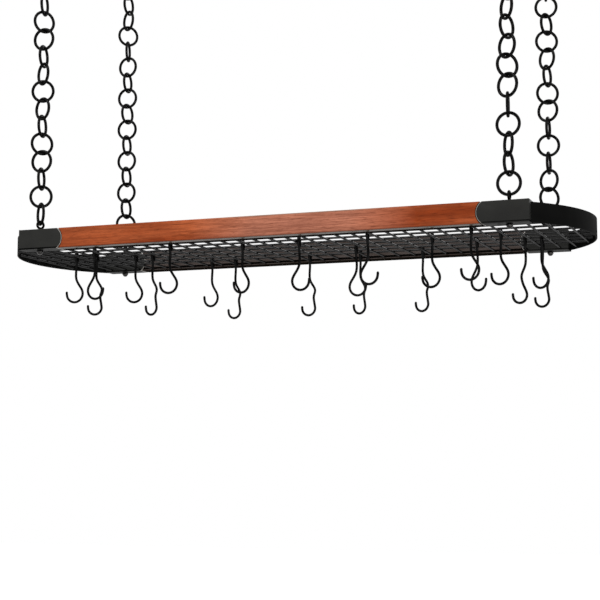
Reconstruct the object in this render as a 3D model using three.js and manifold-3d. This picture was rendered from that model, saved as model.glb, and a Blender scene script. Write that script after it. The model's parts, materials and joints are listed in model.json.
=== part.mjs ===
// A hanging pot rack: two wood rails joined by steel end caps and curved end straps, a wire grid
// between them, pot hooks on the grid, and four ring chains that hang the rack from the ceiling.
// Millimetres, +Z up, +X along the rails, the back rail at +Y. The origin is on the ceiling, at the
// centre of the four ceiling hooks.
import * as THREE from 'three';
import { mergeVertices } from 'three/addons/utils/BufferGeometryUtils.js';
import Module from 'manifold-3d';

const wasm = await Module();
wasm.setup();

// ---------------------------------------------------------------- driving dimensions

// Frame: the length is over the caps' end faces, the width over the rails' outer faces.
const FRAME_LENGTH = 982;
const FRAME_WIDTH = 387;
const RAIL_HEIGHT = 38;
const RAIL_THICKNESS = 32;

// End caps: folded sheet steel sleeves, with a round tongue over each upright face of the rail.
const CAP_SHEET = 1.5;
const CAP_PROUD = 0.3;
const CAP_LENGTH = 82;
const TONGUE_REACH = 10;
const TONGUE_GAP = 1.2;

// End straps: flat bar, bent to one arc between the caps' end faces.
const STRAP_HEIGHT = 35;
const STRAP_THICKNESS = 3;
const STRAP_BULGE = 77;

// Wire grid: cross wires below, long wires welded on top of them.
const GRID_WIRE = 4;
const CROSS_WIRE_COUNT = 35;
const CROSS_WIRE_END_GAP = 27;
const LONG_WIRE_COUNT = 7;
const GRID_HEIGHT = 4;
const GROOVE_DEPTH = 6;
const WIRE_SEAT = 5;
const WELD_SINK = 0.3;

// Eye bolts and their domed nuts.
const BOLT_FROM_END = 37;
const BOLT_DIAMETER = 6;
const EYE_WIRE = 4.6;
const EYE_OUTSIDE = 18;
const EYE_HEIGHT = 19;
const COLLAR_DIAMETER = 12;
const COLLAR_HEIGHT = 2;
const NUT_WIDTH = 11;
const NUT_BODY = 4.5;
const NUT_DOME = 4;
const NUT_THREAD = 5.5;

// Chains of round rings.
const RING_OUTSIDE = 45.2;
const RING_WIRE = 5.6;
const RING_COUNT = 17;

// Ceiling hooks: screw, flat collar and an open round hook.
const SCREW_DIAMETER = 6;
const SCREW_LENGTH = 40;
const SCREW_TIP = 8;
const CEILING_COLLAR_DIAMETER = 22;
const CEILING_COLLAR_HEIGHT = 2.5;
const HOOK_STEM = 14;
const HOOK_WIRE = 5;
const HOOK_RADIUS = 9.5;
const HOOK_OPEN_ANGLE = 85;

// Pot hooks: the drop is from the top of the long wire to the lowest point, a rise is a height above
// that point, and the bowl is the round bottom bend, measured to the middle of its wire.
const POT_WIRE = 4.8;
const SEAT_PLAY = 0.4;
const SEAT_TAIL = 14;
const SEAT_NECK = 17;
const SHORT_DROP = 98;
const SHORT_BOWL = 17;
const SHORT_NECK_RISE = 46;
const LONG_DROP = 124;
const LONG_BOWL = 14.2;
const LONG_NECK_RISE = 71;
const UPPER_BEND = 11;
const UPPER_BEND_RISE = 50;
const WAIST = 8;
const WAIST_RISE = 36;
const BOWL_SHIFT = 3;
const TIP_RISE = 5;

// Room between pieces that are separate but bear on each other.
const CLEARANCE = 0.3;

// How each ring of a chain is turned about the vertical, in degrees, from the second ring down to
// the last but one. The top rings stand along the rack and aren't listed.
const RING_TURNS = {
  front_left: [90, 30, -20, 103, 56, 0, 99, -33, 20, -24, 100, 47, 0, 104, 20],
  front_right: [90, -20, 40, 100, 10, 69, -50, 69, -37, 45, -26, 100, -4, 122, 80],
  back_left: [90, -35, 43, 107, -6, 94, 2, 84, 2, 94, -2, 92, -2, 89, 45],
  back_right: [90, 40, 100, 6, 72, 20, -37, 81, 24, -17, 92, 6, 92, -26, 42],
};
const BOTTOM_RING_TURNS = { front_left: -44, front_right: 0, back_left: 0, back_right: 0 };
const EYE_TURNS = { front_left: 60, front_right: 90, back_left: 90, back_right: 90 };

// Pot hooks. at is the place along the rack, counted in cross wires from the middle one, row counts
// the long wires from the front, and turn is how far the hook is turned about the vertical, in degrees.
// One long hook is bent unlike the rest: side is the share and the side of its upper bend and waist,
// and shift is how far its bowl lies to one side.
const SHORT_HOOKS = [
  { at: -14.2, row: 2, turn: 5 },
  { at: -12.25, row: 1, turn: 177 },
  { at: -10.7, row: 3, turn: 3 },
  { at: -6.52, row: 0, turn: 3 },
  { at: -7.16, row: 6, turn: -14 },
  { at: -2.4, row: 1, turn: -12 },
  { at: 1.16, row: 1, turn: 177 },
  { at: 3.4, row: 4, turn: 174 },
  { at: 5.76, row: 0, turn: 172 },
  { at: 8.84, row: 2, turn: -7 },
  { at: 11.76, row: 0, turn: -11 },
  { at: 10.84, row: 4, turn: 155 },
  { at: 12.84, row: 2, turn: -15 },
  { at: 14.64, row: 4, turn: -26 },
];
const LONG_HOOKS = [
  { at: -12.77, row: 2, turn: 8 },
  { at: -9.53, row: 3, turn: -16 },
  { at: -5.53, row: 6, turn: -11 },
  { at: -0.49, row: 6, turn: -5 },
  { at: 2.84, row: 6, turn: -20 },
  { at: 6.84, row: 6, turn: -17 },
  { at: 13.68, row: 4, turn: -14, side: -0.75, shift: 12 },
  { at: 14.2, row: 6, turn: -14 },
];

// ---------------------------------------------------------------- derived sizes

const HALF_LENGTH = FRAME_LENGTH / 2;
const RAIL_Y = (FRAME_WIDTH - RAIL_THICKNESS) / 2;
const INNER_HALF_WIDTH = FRAME_WIDTH / 2 - RAIL_THICKNESS;
const CAP_HEIGHT = RAIL_HEIGHT + 2 * CAP_PROUD;
const CAP_THICKNESS = RAIL_THICKNESS + 2 * CAP_PROUD;
const BOLT_X = HALF_LENGTH - BOLT_FROM_END;
const CAP_TOP = RAIL_HEIGHT + CAP_PROUD;

const STRAP_RADIUS = (RAIL_Y ** 2 + STRAP_BULGE ** 2) / (2 * STRAP_BULGE);
const STRAP_CENTRE_X = HALF_LENGTH + STRAP_BULGE - STRAP_RADIUS;
const STRAP_INSIDE = STRAP_RADIUS - STRAP_THICKNESS / 2;

const WIRE_RADIUS = GRID_WIRE / 2;
const SEAT_RADIUS = WIRE_RADIUS + SEAT_PLAY + POT_WIRE / 2;
const LONG_WIRE_HEIGHT = GRID_HEIGHT + GRID_WIRE - WELD_SINK;
const LONG_PITCH = (2 * INNER_HALF_WIDTH) / (LONG_WIRE_COUNT + 1);
const CROSS_PITCH = (2 * (STRAP_CENTRE_X + STRAP_INSIDE - CROSS_WIRE_END_GAP)) / (CROSS_WIRE_COUNT - 1);

const RING_RADIUS = (RING_OUTSIDE - RING_WIRE) / 2;
const RING_INSIDE = RING_OUTSIDE - 2 * RING_WIRE;
const LOOSE_PITCH = RING_INSIDE - CLEARANCE;
const JOINED_PITCH = RING_INSIDE + WELD_SINK;
const JOINED_COUNT = RING_COUNT - 2;

// Heights below the ceiling, from the ceiling hook down to the underside of the rails.
const HOOK_CENTRE_Z = -(CEILING_COLLAR_HEIGHT + HOOK_STEM + HOOK_RADIUS);
const RING_SEAT_Z = HOOK_CENTRE_Z - HOOK_RADIUS + HOOK_WIRE / 2 + CLEARANCE + RING_WIRE / 2;
const TOP_RING_Z = RING_SEAT_Z - RING_RADIUS;
const CHAIN_Z = TOP_RING_Z - LOOSE_PITCH;
const BOTTOM_RING_Z = CHAIN_Z - (JOINED_COUNT - 1) * JOINED_PITCH - LOOSE_PITCH;
const EYE_BAR_Z = BOTTOM_RING_Z - RING_RADIUS + RING_WIRE / 2 + CLEARANCE + EYE_WIRE / 2;
const RACK_Z = EYE_BAR_Z + EYE_WIRE / 2 - EYE_HEIGHT - CAP_TOP;

const CORNERS = [
  { name: 'front_left', x: -BOLT_X, y: -RAIL_Y },
  { name: 'front_right', x: BOLT_X, y: -RAIL_Y },
  { name: 'back_left', x: -BOLT_X, y: RAIL_Y },
  { name: 'back_right', x: BOLT_X, y: RAIL_Y },
];

// ---------------------------------------------------------------- materials

const cherry = new THREE.MeshStandardMaterial({ color: 0x9c4a26, roughness: 0.4, metalness: 0 });
const capPaint = new THREE.MeshStandardMaterial({ color: 0x30302e, roughness: 0.55, metalness: 0.4 });
const strapPaint = new THREE.MeshStandardMaterial({ color: 0x1b1b1a, roughness: 0.5, metalness: 0.4 });
const wirePaint = new THREE.MeshStandardMaterial({ color: 0x1a1919, roughness: 0.45, metalness: 0.4 });
const nutSteel = new THREE.MeshStandardMaterial({ color: 0x4a4848, roughness: 0.35, metalness: 0.7 });

// ---------------------------------------------------------------- helpers

function solid(geometry) {
  const bare = geometry.index ? geometry.toNonIndexed() : geometry.clone();
  bare.deleteAttribute('normal');
  bare.deleteAttribute('uv');
  const merged = mergeVertices(bare, 1e-4);
  return new wasm.Manifold(new wasm.Mesh({
    numProp: 3,
    vertProperties: new Float32Array(merged.attributes.position.array),
    triVerts: new Uint32Array(merged.index.array),
  }));
}

function geometryOf(manifold) {
  const mesh = manifold.getMesh();
  const geometry = new THREE.BufferGeometry();
  geometry.setAttribute('position', new THREE.BufferAttribute(new Float32Array(mesh.vertProperties), 3));
  geometry.setIndex(new THREE.BufferAttribute(new Uint32Array(mesh.triVerts), 1));
  geometry.computeVertexNormals();
  return geometry;
}

function joined(geometries) {
  const [first, ...rest] = geometries.map(solid);
  return rest.reduce((whole, next) => whole.add(next), first);
}

function piece(name, geometry, material, x = 0, y = 0, z = 0, turn = 0) {
  const mesh = new THREE.Mesh(geometry, material);
  mesh.name = name;
  mesh.position.set(x, y, z);
  mesh.rotation.z = turn;
  return mesh;
}

function radians(degrees) {
  return THREE.MathUtils.degToRad(degrees);
}

function box(sizeX, sizeY, sizeZ, x, y, z) {
  return new THREE.BoxGeometry(sizeX, sizeY, sizeZ).translate(x, y, z);
}

function uprightCylinder(radius, bottom, top, sides, x = 0, y = 0) {
  const geometry = new THREE.CylinderGeometry(radius, radius, top - bottom, sides);
  return geometry.rotateX(Math.PI / 2).translate(x, y, (top + bottom) / 2);
}

// A smooth path through a bar's points, with one step of the bar from each point to the next.
class BarPath extends THREE.CatmullRomCurve3 {
  constructor(points) {
    super(points, false, 'centripetal');
  }

  getUtoTmapping(share) {
    return share;
  }
}

// A round bar bent through points, with straight cut ends.
function bar(points, diameter) {
  const sides = 5;
  const section = new THREE.Shape();
  for (let side = 0; side < sides; side += 1) {
    const angle = (2 * Math.PI * side) / sides;
    const point = [Math.cos(angle) * diameter / 2, Math.sin(angle) * diameter / 2];
    if (side === 0) section.moveTo(...point);
    else section.lineTo(...point);
  }
  section.closePath();
  return new THREE.ExtrudeGeometry(section, {
    steps: points.length - 1,
    curveSegments: 1,
    extrudePath: new BarPath(points),
  });
}

// A closed ring that stands upright, in the X-Z plane before it is turned about Z.
function ring(radius, wire, turn = 0, z = 0) {
  const sectionSides = 4;
  const steps = 10;
  const geometry = new THREE.TorusGeometry(radius, wire / 2, sectionSides, steps).rotateZ(Math.PI / 2);
  return geometry.rotateX(Math.PI / 2).rotateZ(radians(turn)).translate(0, 0, z);
}

// ---------------------------------------------------------------- rails and end caps

// The cap seen from its side, from its end face at x = 0 back to the tip of the tongue.
function capOutline(grow) {
  const half = CAP_HEIGHT / 2 + grow;
  const shoulder = -(CAP_LENGTH + grow);
  const radius = (half ** 2 + TONGUE_REACH ** 2) / (2 * TONGUE_REACH);
  const spread = Math.asin(half / radius);
  const outline = new THREE.Shape();
  outline.moveTo(grow, -half);
  outline.lineTo(grow, half);
  outline.lineTo(shoulder, half);
  outline.absarc(shoulder - TONGUE_REACH + radius, 0, radius, Math.PI - spread, Math.PI + spread);
  outline.closePath();
  return outline;
}

function capEnvelope(grow) {
  const depth = CAP_THICKNESS + 2 * grow;
  const geometry = new THREE.ExtrudeGeometry(capOutline(grow), {
    depth,
    bevelEnabled: false,
    curveSegments: 10,
  });
  return geometry.rotateX(Math.PI / 2).translate(0, depth / 2, RAIL_HEIGHT / 2);
}

// What the cap leaves free inside itself, or with shrink, the wood that stays inside the cap.
function capHollow(shrink, start) {
  const length = CAP_LENGTH + 2 * TONGUE_REACH;
  const thickness = CAP_THICKNESS - 2 * (CAP_SHEET + shrink);
  const height = CAP_HEIGHT - 2 * (CAP_SHEET + shrink);
  return box(length, thickness, height, start - length / 2, 0, RAIL_HEIGHT / 2);
}

function boltHole(x) {
  const overshoot = 5;
  const radius = BOLT_DIAMETER / 2 + CLEARANCE;
  return solid(uprightCylinder(radius, -overshoot, RAIL_HEIGHT + overshoot, 12, x, 0));
}

function capGeometry() {
  const shell = solid(capEnvelope(0)).subtract(solid(capHollow(0, -CAP_SHEET)));
  return geometryOf(shell.subtract(boltHole(-BOLT_FROM_END)));
}

// The front rail: rebated at both ends for the caps, and grooved inside for the grid's wires.
function railGeometry() {
  const length = FRAME_LENGTH - 2 * (CAP_SHEET + CLEARANCE);
  let rail = solid(box(length, RAIL_THICKNESS, RAIL_HEIGHT, 0, 0, RAIL_HEIGHT / 2));
  const rebate = solid(capEnvelope(TONGUE_GAP)).subtract(solid(capHollow(CLEARANCE, 0)));
  rail = rail.subtract(rebate.translate([HALF_LENGTH, 0, 0]));
  rail = rail.subtract(rebate.rotate([0, 0, 180]).translate([-HALF_LENGTH, 0, 0]));
  const grooveHeight = GRID_WIRE + 2 * CLEARANCE;
  const grooveY = RAIL_THICKNESS / 2 - GROOVE_DEPTH / 2;
  rail = rail.subtract(solid(box(FRAME_LENGTH, GROOVE_DEPTH, grooveHeight, 0, grooveY, GRID_HEIGHT)));
  rail = rail.subtract(boltHole(BOLT_X));
  rail = rail.subtract(boltHole(-BOLT_X));
  return geometryOf(rail);
}

function railsAndCaps() {
  const rail = railGeometry();
  const cap = capGeometry();
  const parts = [
    piece('front_rail', rail, cherry, 0, -RAIL_Y),
    piece('back_rail', rail, cherry, 0, RAIL_Y, 0, Math.PI),
  ];
  for (const { name, x, y } of CORNERS) {
    const side = Math.sign(x);
    parts.push(piece(`cap_${name}`, cap, capPaint, side * HALF_LENGTH, y, 0, side > 0 ? 0 : Math.PI));
  }
  return parts;
}

// ---------------------------------------------------------------- end straps

// The right strap in plan, cut square where it meets the caps' end faces.
function strapGeometry() {
  const start = HALF_LENGTH + CLEARANCE - STRAP_CENTRE_X;
  const outside = STRAP_RADIUS + STRAP_THICKNESS / 2;
  const outerAngle = Math.acos(start / outside);
  const innerAngle = Math.acos(start / STRAP_INSIDE);
  const plan = new THREE.Shape();
  plan.absarc(STRAP_CENTRE_X, 0, outside, -outerAngle, outerAngle, false);
  plan.absarc(STRAP_CENTRE_X, 0, STRAP_INSIDE, innerAngle, -innerAngle, true);
  plan.closePath();
  return new THREE.ExtrudeGeometry(plan, { depth: STRAP_HEIGHT, bevelEnabled: false, curveSegments: 18 });
}

function straps() {
  const strap = strapGeometry();
  return [
    piece('end_strap_left', strap, strapPaint, 0, 0, 0, Math.PI),
    piece('end_strap_right', strap, strapPaint),
  ];
}

// ---------------------------------------------------------------- wire grid

// How far a long wire at y reaches before it meets the inside of the end strap.
function longWireReach(y) {
  const edge = Math.abs(y) + WIRE_RADIUS;
  return STRAP_CENTRE_X + Math.sqrt(STRAP_INSIDE ** 2 - edge ** 2) - CLEARANCE;
}

// Half the length of the cross wire at x: into the rail's groove, up to the cap, or to the strap.
function crossWireReach(x) {
  const edge = Math.abs(x) + WIRE_RADIUS;
  const capStart = HALF_LENGTH - CAP_LENGTH - TONGUE_REACH - CLEARANCE;
  if (edge < capStart) return INNER_HALF_WIDTH + WIRE_SEAT;
  if (edge < HALF_LENGTH) return INNER_HALF_WIDTH - CAP_PROUD - CLEARANCE;
  return Math.sqrt(STRAP_INSIDE ** 2 - (edge - STRAP_CENTRE_X) ** 2) - CLEARANCE;
}

function longWireY(row) {
  return (row - (LONG_WIRE_COUNT - 1) / 2) * LONG_PITCH;
}

function gridGeometry() {
  const wires = [];
  for (let place = 0; place < CROSS_WIRE_COUNT; place += 1) {
    const x = (place - (CROSS_WIRE_COUNT - 1) / 2) * CROSS_PITCH;
    const wire = new THREE.CylinderGeometry(WIRE_RADIUS, WIRE_RADIUS, 2 * crossWireReach(x), 4);
    wires.push(wire.translate(x, 0, GRID_HEIGHT));
  }
  for (let row = 0; row < LONG_WIRE_COUNT; row += 1) {
    const y = longWireY(row);
    const wire = new THREE.CylinderGeometry(WIRE_RADIUS, WIRE_RADIUS, 2 * longWireReach(y), 4);
    wires.push(wire.rotateZ(Math.PI / 2).translate(0, y, LONG_WIRE_HEIGHT));
  }
  return geometryOf(joined(wires));
}

// ---------------------------------------------------------------- eye bolts and nuts

// The bolt's own zero is the cap's top face.
function eyeBoltGeometry(turn) {
  const eyeRadius = (EYE_OUTSIDE - EYE_WIRE) / 2;
  const eyeCentre = EYE_HEIGHT - EYE_OUTSIDE / 2;
  const threadEnd = -(CAP_HEIGHT + NUT_THREAD);
  const neckTop = eyeCentre - eyeRadius;
  return geometryOf(joined([
    uprightCylinder(BOLT_DIAMETER / 2, threadEnd, neckTop, 10),
    uprightCylinder(COLLAR_DIAMETER / 2, CLEARANCE, COLLAR_HEIGHT, 12),
    ring(eyeRadius, EYE_WIRE, turn, eyeCentre),
  ]));
}

// The nut's own zero is its top face, under the cap. Below the six flats it closes in a dome.
function nutGeometry() {
  const hexRadius = NUT_WIDTH / Math.sqrt(3);
  const domeRadius = NUT_WIDTH / 2 - 0.5;
  const domeSteps = 4;
  const profile = [new THREE.Vector2(0, 0), new THREE.Vector2(domeRadius, 0)];
  for (let step = 0; step <= domeSteps; step += 1) {
    const angle = (step / domeSteps) * (Math.PI / 2);
    const drop = NUT_BODY + NUT_DOME * Math.sin(angle);
    profile.push(new THREE.Vector2(step === domeSteps ? 0 : domeRadius * Math.cos(angle), -drop));
  }
  const dome = new THREE.LatheGeometry(profile.reverse(), 12).rotateX(Math.PI / 2);
  const flats = uprightCylinder(hexRadius, -NUT_BODY, 0, 6);
  const hole = uprightCylinder(BOLT_DIAMETER / 2 + CLEARANCE, -NUT_THREAD, 1, 10);
  return geometryOf(joined([flats, dome]).subtract(solid(hole)));
}

function boltsAndNuts() {
  const nut = nutGeometry();
  return CORNERS.flatMap(({ name, x, y }) => [
    piece(`eye_bolt_${name}`, eyeBoltGeometry(EYE_TURNS[name]), strapPaint, x, y, CAP_TOP),
    piece(`cap_nut_${name}`, nut, nutSteel, x, y, -CAP_PROUD - CLEARANCE),
  ]);
}

// ---------------------------------------------------------------- chains and ceiling hooks

function ceilingHookGeometry() {
  const points = [new THREE.Vector3(0, 0, -CEILING_COLLAR_HEIGHT + 1)];
  const start = 90;
  const end = -180 - (90 - HOOK_OPEN_ANGLE);
  const turns = 12;
  for (let step = 0; step <= turns; step += 1) {
    const angle = radians(start + ((end - start) * step) / turns);
    points.push(new THREE.Vector3(
      0,
      HOOK_RADIUS * Math.cos(angle),
      HOOK_CENTRE_Z + HOOK_RADIUS * Math.sin(angle),
    ));
  }
  const tipStart = SCREW_LENGTH - SCREW_TIP;
  const screw = new THREE.LatheGeometry([
    new THREE.Vector2(0, -1),
    new THREE.Vector2(SCREW_DIAMETER / 2, -1),
    new THREE.Vector2(SCREW_DIAMETER / 2, tipStart),
    new THREE.Vector2(0, SCREW_LENGTH),
  ], 10).rotateX(Math.PI / 2);
  return geometryOf(joined([
    uprightCylinder(CEILING_COLLAR_DIAMETER / 2, -CEILING_COLLAR_HEIGHT, 0, 16),
    screw,
    bar(points, HOOK_WIRE),
  ]));
}

function chains() {
  const ceilingHook = ceilingHookGeometry();
  const looseRing = (turn) => ring(RING_RADIUS, RING_WIRE, turn);
  return CORNERS.flatMap(({ name, x, y }) => {
    const rings = RING_TURNS[name].map(
      (turn, place) => ring(RING_RADIUS, RING_WIRE, turn, -place * JOINED_PITCH),
    );
    return [
      piece(`ceiling_hook_${name}`, ceilingHook, strapPaint, x, y),
      piece(`top_ring_${name}`, looseRing(0), wirePaint, x, y, TOP_RING_Z),
      piece(`chain_${name}`, geometryOf(joined(rings)), wirePaint, x, y, CHAIN_Z),
      piece(`bottom_ring_${name}`, looseRing(BOTTOM_RING_TURNS[name]), wirePaint, x, y, BOTTOM_RING_Z),
    ];
  });
}

// ---------------------------------------------------------------- pot hooks

// The seat over the long wire, from its tail behind the wire to the neck under it. The hook's own
// zero is the long wire's axis.
function seatPoints() {
  const points = [new THREE.Vector3(0, SEAT_RADIUS, -SEAT_TAIL)];
  const steps = 4;
  for (let step = 0; step <= steps; step += 1) {
    const angle = (Math.PI * step) / steps;
    points.push(new THREE.Vector3(0, SEAT_RADIUS * Math.cos(angle), SEAT_RADIUS * Math.sin(angle)));
  }
  points.push(new THREE.Vector3(0, -SEAT_RADIUS, -SEAT_NECK / 3));
  points.push(new THREE.Vector3(0, 0, -SEAT_NECK));
  return points;
}

// The bowl, from the bulge beside the shank, round the bottom and up to the open tip.
function bowlPoints(bowl, bottomZ, shift = BOWL_SHIFT) {
  const centreZ = bottomZ + bowl;
  const points = [];
  const steps = 7;
  const from = 20;
  const to = -180;
  for (let step = 0; step <= steps; step += 1) {
    const angle = radians(from + ((to - from) * step) / steps);
    points.push(new THREE.Vector3(bowl * Math.cos(angle) - shift, 0, centreZ + bowl * Math.sin(angle)));
  }
  points.push(new THREE.Vector3(-bowl - shift, 0, centreZ + TIP_RISE));
  return points;
}

// The lowest point of a hook's bowl, at the middle of its wire.
function bottomOf(drop) {
  return WIRE_RADIUS - drop + POT_WIRE / 2;
}

// Everything under the seat lies in one upright plane, turned about the vertical.
function hookGeometry(points, turn) {
  const up = new THREE.Vector3(0, 0, 1);
  const turned = points.map((point) => point.applyAxisAngle(up, radians(turn)));
  return bar([...seatPoints(), ...turned], POT_WIRE);
}

function shortHookGeometry({ turn }) {
  const bottomZ = bottomOf(SHORT_DROP);
  return hookGeometry([
    new THREE.Vector3(0, 0, bottomZ + SHORT_NECK_RISE),
    ...bowlPoints(SHORT_BOWL, bottomZ),
  ], turn);
}

function longHookGeometry({ turn, side = 1, shift }) {
  const bottomZ = bottomOf(LONG_DROP);
  return hookGeometry([
    new THREE.Vector3(0, 0, bottomZ + LONG_NECK_RISE),
    new THREE.Vector3(side * UPPER_BEND, 0, bottomZ + UPPER_BEND_RISE),
    new THREE.Vector3(side * WAIST, 0, bottomZ + WAIST_RISE),
    ...bowlPoints(LONG_BOWL, bottomZ, shift),
  ], turn);
}

function potHooks() {
  const hang = (prefix, make) => (hook, place) => piece(
    `${prefix}_${String(place + 1).padStart(2, '0')}`,
    make(hook),
    wirePaint,
    hook.at * CROSS_PITCH,
    longWireY(hook.row),
    LONG_WIRE_HEIGHT,
  );
  return [
    ...SHORT_HOOKS.map(hang('short_hook', shortHookGeometry)),
    ...LONG_HOOKS.map(hang('long_hook', longHookGeometry)),
  ];
}

// ---------------------------------------------------------------- the whole rack

const rack = new THREE.Group();
rack.position.z = RACK_Z;
rack.add(
  ...railsAndCaps(),
  ...straps(),
  piece('wire_grid', gridGeometry(), wirePaint),
  ...boltsAndNuts(),
  ...potHooks(),
);

const potRack = new THREE.Group();
potRack.add(rack, ...chains());

export default potRack;
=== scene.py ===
# %% [markdown]
# # A hanging pot rack
# Two wood rails and two steel end straps hold a wire grid, and four ring chains hang it from the
# ceiling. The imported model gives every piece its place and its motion. This script gives them their
# finish: round wires, rolled edges, grain and paint. Lengths are written in millimetres and turned
# into Blender's metres with MM.

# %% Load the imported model
import json
import math

import bmesh
import bpy
from mathutils import Matrix, Vector


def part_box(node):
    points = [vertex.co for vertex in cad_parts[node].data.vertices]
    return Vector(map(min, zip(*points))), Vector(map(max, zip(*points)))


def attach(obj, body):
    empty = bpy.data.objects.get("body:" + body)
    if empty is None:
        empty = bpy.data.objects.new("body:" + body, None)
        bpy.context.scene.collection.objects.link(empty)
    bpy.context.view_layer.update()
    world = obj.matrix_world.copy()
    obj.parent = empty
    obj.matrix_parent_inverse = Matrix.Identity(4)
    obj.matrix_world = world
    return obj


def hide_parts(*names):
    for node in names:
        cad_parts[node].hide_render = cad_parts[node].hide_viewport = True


MM = 0.001
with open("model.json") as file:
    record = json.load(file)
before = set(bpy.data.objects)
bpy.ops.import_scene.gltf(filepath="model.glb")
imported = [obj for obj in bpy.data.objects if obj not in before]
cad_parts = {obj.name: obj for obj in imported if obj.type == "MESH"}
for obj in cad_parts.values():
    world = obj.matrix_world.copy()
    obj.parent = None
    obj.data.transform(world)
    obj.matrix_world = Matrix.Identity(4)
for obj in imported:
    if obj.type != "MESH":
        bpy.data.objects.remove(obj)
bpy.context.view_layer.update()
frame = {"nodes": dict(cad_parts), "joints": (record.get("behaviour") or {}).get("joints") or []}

# %% [markdown]
# ## Where things are
# A node's box gives its place, so nothing is placed by eye. The frame's own zero is on the ceiling.
# The rack's underside and the four corners are read from the rails and the ceiling hooks.

# %% Places and sizes
CORNERS = ("front_left", "front_right", "back_left", "back_right")
front_low, front_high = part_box("front_rail")
rail_bottom = front_low.z
rail_height = front_high.z - front_low.z
rail_thickness = front_high.y - front_low.y
inner_half_width = -front_high.y
strap_low, strap_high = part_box("end_strap_right")
cap_low, cap_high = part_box("cap_front_right")
half_length = cap_high.x
cap_proud = front_low.y - cap_low.y
CLEARANCE = 0.3 * MM


def middle(node):
    """The middle of a node's box."""
    low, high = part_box(node)
    return (low + high) / 2


print("rail underside at", round(rail_bottom / MM, 1), "mm, half length", round(half_length / MM, 1))

# %% [markdown]
# ## Camera
# The photograph looks up at the rack from the front right, with a long lens. The numbers come from
# fitting a camera to the corners of the caps, the nuts and the end strap's curve.

# %% Camera
LENS_MM = 90.28
CAMERA_FROM_RACK = Vector((1002.7, -2663.6, -409.2)) * MM
CAMERA_YAW = math.radians(20.470)
CAMERA_PITCH = math.radians(6.306)

camera = bpy.data.objects.new("camera", bpy.data.cameras.new("camera"))
bpy.context.scene.collection.objects.link(camera)
camera.data.sensor_width = 36
camera.data.lens = LENS_MM
camera.data.clip_start = 0.05
camera.data.clip_end = 200
camera.location = CAMERA_FROM_RACK + Vector((0, 0, rail_bottom))
camera.rotation_euler = (math.radians(90) + CAMERA_PITCH, 0, CAMERA_YAW)
bpy.context.scene.camera = camera

# %% [markdown]
# ## Studio
# The rack hangs in front of plain white. The sky is white to the camera and to glossy rays, so the
# background stays clean and painted metal has something to reflect, while the light that falls on
# the rack stays at a level that shows colours about as they are written. The floor is a pale grey
# paint that still takes the rack's shadow, with a glow added for the camera alone.

# %% Floor and world
FLOOR_BELOW_CEILING = 2400 * MM
FLOOR_SIZE = 40
FLOOR_GREY = 0.45
FLOOR_GLOW = 0.78
SKY_FILL = 0.6


def glow_for_eyes(tree, fill, glow):
    """A strength of glow for camera, glossy and transmission rays, and of fill for the rest."""
    path = tree.nodes.new("ShaderNodeLightPath")
    seen = path.outputs["Is Camera Ray"]
    for kind in ("Is Glossy Ray", "Is Transmission Ray"):
        either = tree.nodes.new("ShaderNodeMath")
        either.operation = "MAXIMUM"
        tree.links.new(seen, either.inputs[0])
        tree.links.new(path.outputs[kind], either.inputs[1])
        seen = either.outputs[0]
    level = tree.nodes.new("ShaderNodeMapRange")
    tree.links.new(seen, level.inputs["Value"])
    level.inputs["To Min"].default_value = fill
    level.inputs["To Max"].default_value = glow
    return level.outputs["Result"]


world = bpy.data.worlds.new("studio")
bpy.context.scene.world = world
world.use_nodes = True
sky = world.node_tree.nodes["Background"]
sky.inputs["Color"].default_value = (1, 1, 1, 1)
world.node_tree.links.new(glow_for_eyes(world.node_tree, SKY_FILL, 1.0), sky.inputs["Strength"])

floor_mesh = bmesh.new()
bmesh.ops.create_grid(floor_mesh, x_segments=1, y_segments=1, size=FLOOR_SIZE / 2)
bmesh.ops.translate(floor_mesh, verts=floor_mesh.verts, vec=(0, 0, -FLOOR_BELOW_CEILING))
floor = bpy.data.objects.new("floor", bpy.data.meshes.new("floor"))
floor_mesh.to_mesh(floor.data)
floor_mesh.free()
bpy.context.scene.collection.objects.link(floor)

floor_paint = bpy.data.materials.new("floor paint")
floor_paint.use_nodes = True
floor_shader = floor_paint.node_tree.nodes["Principled BSDF"]
floor_shader.inputs["Base Color"].default_value = (FLOOR_GREY, FLOOR_GREY, FLOOR_GREY, 1)
floor_shader.inputs["Roughness"].default_value = 0.9
floor_shader.inputs["Emission Color"].default_value = (1, 1, 1, 1)
floor_paint.node_tree.links.new(
    glow_for_eyes(floor_paint.node_tree, 0.0, FLOOR_GLOW), floor_shader.inputs["Emission Strength"]
)
floor.data.materials.append(floor_paint)

bpy.context.scene.view_settings.view_transform = "Standard"

# %% Lamps


def add_lamp(name, place, aim, size, watts):
    """A square soft lamp that faces aim."""
    lamp = bpy.data.objects.new(name, bpy.data.lights.new(name, "AREA"))
    lamp.data.size = size
    lamp.data.energy = watts
    lamp.location = place
    lamp.rotation_euler = (Vector(aim) - Vector(place)).to_track_quat("-Z", "Y").to_euler()
    bpy.context.scene.collection.objects.link(lamp)
    return lamp


rack_middle = Vector((0, 0, rail_bottom))
add_lamp("key lamp", rack_middle + Vector((-1.0, -2.2, 2.6)), rack_middle, 1.6, 74)
add_lamp("fill lamp", rack_middle + Vector((2.2, -2.2, -0.6)), rack_middle, 1.8, 26)
add_lamp("rim lamp", rack_middle + Vector((0.5, 2.6, 1.4)), rack_middle, 1.6, 30)

# %% [markdown]
# ## Finishes
# An effect with several steps is a node group, made once. Three are needed: the grain of the wood, the
# fine orange peel that powder coat and paint leave on metal, and the shadow above the caps' folds.
# They read the object's own coordinates, which are metres, so their scales are real ones.

# %% Group helpers


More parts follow.
